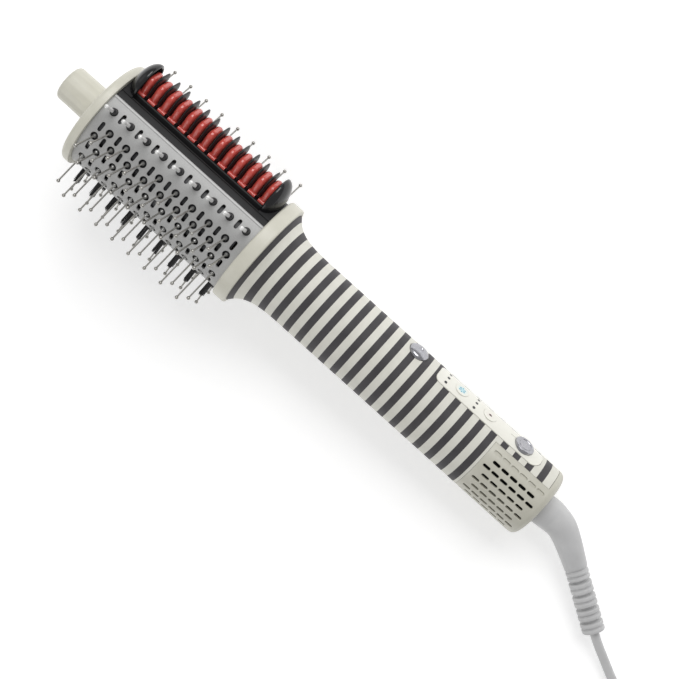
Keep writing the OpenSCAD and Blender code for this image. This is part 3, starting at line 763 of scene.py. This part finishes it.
for k in range(6):
    t = math.radians(60 * k + 30)
    parts.append(bar(278.9, 1.45 * math.cos(t), 1.45 * math.sin(t), t, 1.5, 0.36))
    for sgn in (-1, 1):
        tb = t + sgn * math.radians(48)
        bx, by = 1.5 * math.cos(t) + 0.36 * math.cos(tb), 1.5 * math.sin(t) + 0.36 * math.sin(tb)
        parts.append(bar(278.9, bx, by, tb, 0.7, 0.26))
v, f = joined(parts)
make("sign_cold", v, f, ice, body="mode_button", smooth=False)
v, f = joined([prism(pill(2.1, 1.0, 6), 22.3, 22.42, lambda u, w, z: (299.6 + u, w, z)), bar(299.6, 0.0, 0.65, 0.0, 1.0, 0.4)])
make("sign_speed", v, f, mark, body="speed_button", smooth=False)

# ---------------------------------------------------------------- intake grille
gp = [(310.9, 20.0), (310.9, 21.8), (310.97, 21.94), (311.1, 22.0)]
gp += [(311.1 + (350.5 - 311.1) * i / 6, 22.0) for i in range(1, 7)]
gp += [(350.5 + 4 * math.sin(math.radians(t)), 18 + 4 * math.cos(math.radians(t))) for t in (11, 22, 34, 45, 56, 68, 79, 90)]
gp += [(354.5, 10.5), (354.2, 10.0), (352, 10.0), (352, 18.4), (350.6, 20.0)]
v, f = revolve(gp, NH, closed=True)
grille = make("grille_moulding", v, f, grille_cream, body=None, smooth=False)
wedge_o = [(0.0, 0.0)] + [(-40 * math.sin(math.radians(t)), 40 * math.cos(math.radians(t))) for t in (-30.6, -20, -10, 0, 10, 20, 30.6)]
cv, cf = prism(wedge_o, 305, 349.65, lambda u, w, x: (x, u, w))
boolean(grille, make("cut_e", cv, cf, grille_cream, body=None, smooth=False))
parts = []
for j in range(23):
    blind = j in (0, 22)
    th = math.radians(42.3 + 12.52 * j)
    for k in range(6 if j % 2 == 0 else 5):
        ac = 316.1 + (j % 2) * 3.08 + k * 6.17
        levels = [(21.2 if blind else 17.5, 0.0), (21.72, 0.0), (22.35, 0.42)]
        vs = []
        for (rr, grow) in levels:
            for (u, w) in pill(5 + 2 * grow, 1.75 + 2 * grow, 5):
                y, z = w, rr
                vs.append((ac + u, y * math.cos(th) - z * math.sin(th), y * math.sin(th) + z * math.cos(th)))
        m = len(vs) // 3
        fs = grid_faces(3, m, close_cols=True) + [tuple(range(m)), tuple(range(3 * m - 1, 2 * m - 1, -1))]
        parts.append((vs, fs))
cv, cf = joined(parts)
boolean(grille, make("cut_f", cv, cf, grille_cream, body=None, smooth=False))
reshade(grille, 26)
finish_piece(grille, "housing", ("intake_grille",))

# ---------------------------------------------------------------- comb tray, teeth, ribs and guards
R = 30.8


def circ_arc(t0, t1, n=10, r=R):
    return [(r * math.sin(math.radians(t0 + (t1 - t0) * i / n)), r * math.cos(math.radians(t0 + (t1 - t0) * i / n))) for i in range(n + 1)]


inner_t = math.degrees(math.asin(13.3 / R))
rail = circ_arc(35.2, inner_t + 1.6, 8) + [(13.75, 27.35), (13.35, 26.9), (13.3, 26.2), (13.1, 25.7), (12.7, 25.5)]
rail += [(-y, z) for (y, z) in reversed(rail)]
low = 23.5
rail += [(-low * math.tan(math.radians(35.2)), low), (low * math.tan(math.radians(35.2)), low)]
tray_parts = [prism(rail, 31.3, 139.0, lambda u, w, x: (x, u, w))]
block = [(13.6, 25.2)] + circ_arc(inner_t + 0.4, -inner_t - 0.4, 16, R - 0.02) + [(-13.6, 25.2)]
for (x0, x1) in ((31.3, 38.0), (131.0, 139.0)):
    tray_parts.append(prism(block, x0, x1, lambda u, w, x: (x, u, w)))
base = [(-9, 25.3), (9, 25.3), (9, 28.6), (8.6, 29), (-8.6, 29), (-9, 28.6)]
tray_parts.append(prism(base, 37.5, 131.5, lambda u, w, x: (x, u, w)))
# a thin inner lip along the trough, as on the moulding
for sg in (-1, 1):
    lip = [(sg * 11.2, 25.3), (sg * 12.2, 25.3), (sg * 12.2, 26.9), (sg * 12.0, 27.15), (sg * 11.4, 27.15), (sg * 11.2, 26.9)]
    tray_parts.append(prism(lip, 38.0, 131.0, lambda u, w, x: (x, u, w)))
v, f = joined(tray_parts)
make("comb_tray_moulding", v, f, charcoal, replaces=("comb_tray",), sharp=25)


def arch_curve(half, z0, top, r, n=7, side=5):
    r = max(0.3, min(r, half - 0.05, top - z0))
    pts = [(half, z0 + (top - r - z0) * i / side) for i in range(side)]
    pts += [(half - r + r * math.cos(math.radians(90 * i / n)), top - r + r * math.sin(math.radians(90 * i / n))) for i in range(n + 1)]
    m = [(-y, z) for (y, z) in reversed(pts)]
    flat = [((half - r) * (1 - 2 * i / 6), top) for i in range(1, 6)]
    return pts + flat + m


def bladed(half, z0, top, corner, section, a, bow=0.0):
    """An arch-shaped blade: section is [(inset, half thickness)], from its edge inwards."""
    rings = []
    for sgn, order in ((1, section), (-1, section[::-1])):
        for (d, h) in order:
            rings.append([(a + sgn * h + bow, y, z) for (y, z) in arch_curve(half - d, z0, top - d, corner - d * 0.7)])
    vs = [p for ring_ in rings for p in ring_]
    m = len(rings[0])
    fs = grid_faces(len(rings), m, close_rows=True)
    fs.append(tuple(i * m for i in range(len(rings))))
    fs.append(tuple(i * m + m - 1 for i in reversed(range(len(rings)))))
    return vs, fs


ribs = [bladed(7.3, 23.4, 41.5, 4.5, [(0, 0.35), (0.1, 0.8), (0.32, 1.3), (0.7, 1.75), (1.25, 2.12), (2.0, 2.38), (3.0, 2.5), (6.4, 2.5)], 40 + 7.37 * k) for k in range(13)]
# each rib stands on a small foot
for k in range(13):
    a = 40 + 7.37 * k
    foot = [(-7.9, 28.9), (7.9, 28.9), (8.15, 29.3), (8.1, 30.2), (7.6, 30.7), (-7.6, 30.7), (-8.1, 30.2), (-8.15, 29.3)]
    ribs.append(prism(foot, a - 2.45, a + 2.45, lambda u, w, x: (x, u, w)))
v, f = joined(ribs)
make("heated_ribs", v, f, red, sharp=60)
teeth = [bladed(8.4, 26.5, 44.8, 5.2, [(0, 0.1), (0.2, 0.32), (0.7, 0.6), (1.5, 0.9), (2.6, 1.16), (3.8, 1.3), (5.2, 1.22), (7.2, 1.08)], 40 + 7.37 * (k + 0.5)) for k in range(12)]
v, f = joined(teeth)
make("comb_teeth", v, f, tooth, sharp=60)


def ear(a_rim, sgn, name, node):
    """Quarter-dome guard: open side at a_rim, bulging along sgn."""
    zc, ay, az, ax_, w = 32.3, 12.7, 14.2, 7.2, 1.9
    NU, NV = 44, 12
    rows_ = []
    phi_max = 118
    for i in range(NV + 1):
        sv = math.radians(90 * i / NV * 0.97)
        rows_.append([(a_rim + sgn * ax_ * math.sin(sv),
                       math.cos(sv) * ay * math.sin(math.radians(-phi_max + 2 * phi_max * j / NU)),
                       zc + math.cos(sv) * az * math.cos(math.radians(-phi_max + 2 * phi_max * j / NU))) for j in range(NU + 1)])
    inner_rows = []
    for i in range(NV, -1, -1):
        sv = math.radians(90 * i / NV * 0.97)
        inner_rows.append([(a_rim + sgn * (ax_ - w) * math.sin(sv),
                            math.cos(sv) * (ay - w) * math.sin(math.radians(-phi_max + 2 * phi_max * j / NU)),
                            zc + math.cos(sv) * (az - w) * math.cos(math.radians(-phi_max + 2 * phi_max * j / NU))) for j in range(NU + 1)])
    # rounded rim between the inner and the outer skin
    rim = []
    for q in (0.2, 0.5, 0.8):
        bulge = 0.75 * math.sin(math.pi * q)
        r_y, r_z = ay - w + w * q, az - w + w * q
        rim.append([(a_rim - sgn * bulge, r_y * math.sin(math.radians(-phi_max + 2 * phi_max * j / NU)),
                     zc + r_z * math.cos(math.radians(-phi_max + 2 * phi_max * j / NU))) for j in range(NU + 1)])
    rows_ = rows_ + inner_rows + rim
    vs = [p for r_ in rows_ for p in r_]
    fs = grid_faces(len(rows_), NU + 1, close_rows=True)
    m = NU + 1
    fs.append(tuple(i * m for i in range(len(rows_))))
    fs.append(tuple(i * m + m - 1 for i in reversed(range(len(rows_)))))
    return make(name, vs, fs, gloss, replaces=(node,), sharp=50)


ear(38.2, -1, "front_ear", "front_guard")
ear(131.2, 1, "rear_ear", "rear_guard")

# ---------------------------------------------------------------- sleeve hem, bosses and tufts
# the sleeve's folded edge as a small bead: the fold is real, its lighter metal is a painted highlight along it
parts = []
for sg in (-1, 1):
    sec = []
    for i in range(14):
        w = 2 * math.pi * i / 14
        sec.append((0.95 * math.cos(w), 0.5 * math.sin(w)))
    t = sg * 36.3

    def hem_pt(u, w, x, t=t):
        tt = math.radians(t) + u / 30.6
        r = 30.72 + w
        return (x, -r * math.sin(tt), r * math.cos(tt))
    parts.append(prism(sec, 31.3, 139.0, hem_pt))
v, f = joined(parts)
make("sleeve_hem", v, f, hem, sharp=60)

ROWS = [[50.4, 37.4, 9], [70, 43.4, 8], [82.5, 37.4, 9], [95.7, 43.4, 8], [114.5, 37.4, 9], [131, 43.4, 8], [171, 37.4, 9]]
TIPS = [(53.75, 48.7), (78.6, 48.7), (87.1, 48.7), (96, 48.7), (127, 48.7), (136, 51), (171, 49.8)]


def turn(p, deg):
    t = math.radians(deg)
    x, y, z = p
    return (x, y * math.cos(t) - z * math.sin(t), y * math.sin(t) + z * math.cos(t))


def post(profile, m, place_pt):
    """A small lathe-turned post about z, closed at both ends, placed by place_pt."""
    vs = [place_pt((r * math.cos(2 * math.pi * j / m), r * math.sin(2 * math.pi * j / m), z)) for (r, z) in profile for j in range(m)]
    fs = grid_faces(len(profile), m, close_cols=True)
    fs.append(tuple(range(m)))
    if profile[-1][0] > 1e-6:
        fs.append(tuple(range(len(vs) - 1, len(vs) - 1 - m, -1)))
    return vs, fs


carrier, seats, cones, stubs = [], [], [], []
for a in (36.4, 84, 128.5):
    carrier.append(revolve([(a, 26.4), (a, 29.3), (a + 5, 29.3), (a + 5, 26.4)], 96, closed=True, deg0=40.5, deg1=319.5))
for i, (th, first, cnt) in enumerate(ROWS):
    for sg in (-1, 1):
        bar_o = [(-2.6, 25.2), (2.6, 25.2), (2.6, 28.1), (2.3, 28.4), (-2.3, 28.4), (-2.6, 28.1)]
        carrier.append(prism(bar_o, 36.4, 133.5, lambda u, w, x, d=sg * th: turn((x, u, w), d)))
        for k in range(cnt):
            a = first + 12.05 * k
            put = lambda p, a=a, d=sg * th: turn((a + p[0], p[1], p[2]), d)
            if i == 0:
                cones.append(post([(1.9, 28.0), (1.95, 30.6), (2.0, 31.2), (1.9, 32.4), (1.72, 33.8), (1.5, 35.0), (1.3, 35.8), (0.9, 36.2), (0.0, 36.3)], 24, put))
            else:
                cones.append(post([(1.75, 28.0), (1.75, 29.4), (1.55, 29.75), (1.2, 29.9), (0.0, 29.9)], 20, put))
                seats.append(post([(1.15, 29.6), (1.2, 30.1), (1.1, 30.7), (0.85, 31.15), (0.55, 31.5), (0.5, 32.2)], 18, put))
# on the near side only, the first row's wires get slim bright sleeves: a painted highlight standing in for the glint on
# the wires seen end-on
for sg in (1,):
    th, (tt, rt) = 50.4, TIPS[0]
    for k in range(9):
        a = 37.4 + 12.05 * k
        hx, hz = -30.8 * math.sin(math.radians(th)), 30.8 * math.cos(math.radians(th))
        tx, tz = -rt * math.sin(math.radians(tt)), rt * math.cos(math.radians(tt))
        ln = math.hypot(tx - hx, tz - hz)
        lean = math.radians(-4.5 * math.cos(math.radians(57.5 - tt)))
        tip_ang = math.atan2(hx - tx, tz - hz)

        def pin_pt(p, a=a, hx=hx, hz=hz, lean=lean, tip_ang=tip_ang, sg=sg):
            x, y, z = p
            x, z = x * math.cos(lean) + z * math.sin(lean), -x * math.sin(lean) + z * math.cos(lean)
            y, z = y * math.cos(tip_ang) - z * math.sin(tip_ang), y * math.sin(tip_ang) + z * math.cos(tip_ang)
            return (a + x, sg * (hx + y), hz + z)
        ball = [(1.22 * math.sin(math.radians(q)), ln - 1.0 - 1.22 * math.cos(math.radians(q))) for q in (40, 60, 80, 100, 120, 140, 160, 180)]
        stubs.append(post([(1.15, 4.6), (1.1, 6.0), (0.98, 9.0), (0.86, 12.5), (0.8, ln - 2.6)] + ball, 20, pin_pt))
v, f = joined(carrier + cones)
make("bristle_carrier", v, f, black, replaces=("bristle_core",), sharp=45)
v, f = joined(seats)
make("pin_seats", v, f, seat_mat, sharp=60)
v, f = joined(stubs)
make("first_row_sleeves", v, f, painted_highlight_stub_mat, sharp=60)

rng = random.Random(11)
parts = []
for sg in (-1, 1):
    t = math.radians(sg * 171)
    for k in range(9):
        a0 = 37.4 + 12.05 * k
        for q in range(44):
            rr = 1.42 * math.sqrt(rng.random())
            w = rng.uniform(0, 2 * math.pi)
            if rr < 0.55:
                rr = 0.62
            x0, y0 = rr * math.cos(w), rr * math.sin(w)
            splay = rng.uniform(1.02, 1.34)
            lean = rng.uniform(-0.25, 0.25)
            top = 43.9 - rng.uniform(0, 1.3)
            lv = [(31.0, 1.0, 0.0), (35.0, 1.0 + (splay - 1) * 0.3, 0.25), (39.5, 1.0 + (splay - 1) * 0.7, 0.6), (top, splay, 1.0)]
            vs = []
            for (z, sp_, fr) in lv:
                cx, cy = x0 * sp_ + lean * fr, y0 * sp_ + lean * fr * 0.6
                for j in range(5):
                    ww = 2 * math.pi * j / 5
                    rad_ = 0.2 - 0.05 * fr
                    y, zz = cy + rad_ * math.sin(ww), z
                    vs.append((a0 + cx + rad_ * math.cos(ww), y * math.cos(t) - zz * math.sin(t), y * math.sin(t) + zz * math.cos(t)))
            fs = grid_faces(4, 5, close_cols=True) + [tuple(range(5)), (19, 18, 17, 16, 15)]
            parts.append((vs, fs))
v, f = joined(parts)
make("tuft_bundles", v, f, fil, replaces=("nylon_tufts",), sharp=60)

# a solid near-black band in the filter screen's place, without its perforations: a painted shade lining behind the
# grille slots
v, f = revolve([(312, 18.82), (312, 19.38), (349, 19.38), (349, 18.82)], 96, closed=True, deg0=46, deg1=314)
make("filter_mesh", v, f, screen, replaces=("filter_screen",), sharp=45)

# ---------------------------------------------------------------- carried-over CAD nodes
FINISH = {
    "tip_screw": steel, "barrel_sleeve": sleeve, "bristle_core": black, "side_pins": pin_mat, "bottom_pins": pin_mat, "comb_heater": red,
    "ptc_block": alloy, "heater_frame": mica, "thermal_cutout": steel, "filter_screen": screen, "indicator_lenses": lens,
    "mode_button": mode_mat, "speed_button": speed_mat, "tact_switches": black, "control_board": board, "board_screws": steel,
    "fan_housing": duct, "motor_mount": rubber, "motor": can, "fan_shaft": steel, "impeller": fan_mat, "cord_clamp": duct,
    "clamp_screws": steel, "plug_blades": brass, "cool_tip": cream, "end_cap": cream, "comb_tray": charcoal, "front_guard": gloss,
    "rear_guard": gloss, "nylon_tufts": fil, "rear_collar": cream, "handle_sleeve": wrap_light, "intake_grille": grille_cream,
    "control_panel": panel, "dome_button": button, "power_button": button, "strain_relief": grey, "cord_lead": lead_mat,
    "cord_coil": lead_mat, "coil_tie": rubber, "cord_tail": lead_mat, "plug_body": grey,
}
for name, o in NODES.items():
    m = FINISH[name].m
    if not o.material_slots:
        o.data.materials.append(m)
    for sl in o.material_slots:
        sl.material = m
for o in bpy.data.objects:
    if o.name == "heated_ribs":
        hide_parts("comb_heater")

# ---------------------------------------------------------------- floor and light
fm = Mat("studio_floor", rough=0.85, Emission_Strength=0.33)
fm.color(fm.ramp(fm.noise(3, 3), [(0.3, (0.93, 0.93, 0.93)), (0.7, (0.95, 0.95, 0.95))]))
fme = bpy.data.meshes.new("floor")
fme.from_pydata([(-6, -6, 0), (6, -6, 0), (6, 6, 0), (-6, 6, 0)], [], [(0, 1, 2, 3)])
fme.materials.append(fm.m)
floor = bpy.data.objects.new("floor", fme)
bpy.context.scene.collection.objects.link(floor)

world = bpy.data.worlds.new("world")
world.use_nodes = True
world.node_tree.nodes["Background"].inputs["Color"].default_value = (1, 1, 1, 1)
world.node_tree.nodes["Background"].inputs["Strength"].default_value = 0.42
bpy.context.scene.world = world


def area(name, at, to, size, power, size_y=None):
    ld = bpy.data.lights.new(name, "AREA")
    ld.shape = "RECTANGLE"
    ld.size, ld.size_y = size, size_y or size
    ld.energy = power
    lo = bpy.data.objects.new(name, ld)
    lo.location = at
    lo.rotation_mode = "QUATERNION"
    lo.rotation_quaternion = (Vector(to) - Vector(at)).to_track_quat("-Z", "Y")
    bpy.context.scene.collection.objects.link(lo)
    return lo


mid = Vector((0.02, 0.0, 0.04))
area("key", mid + Vector((-0.1, 0.98, 0.95)), mid, 1.0, 10.5, 0.8)
area("fill", mid + Vector((-0.15, -1.08, 0.66)), mid, 1.0, 3.4, 0.7)
area("end", mid + Vector((-1.1, 0.1, 0.7)), mid, 0.7, 0.5)
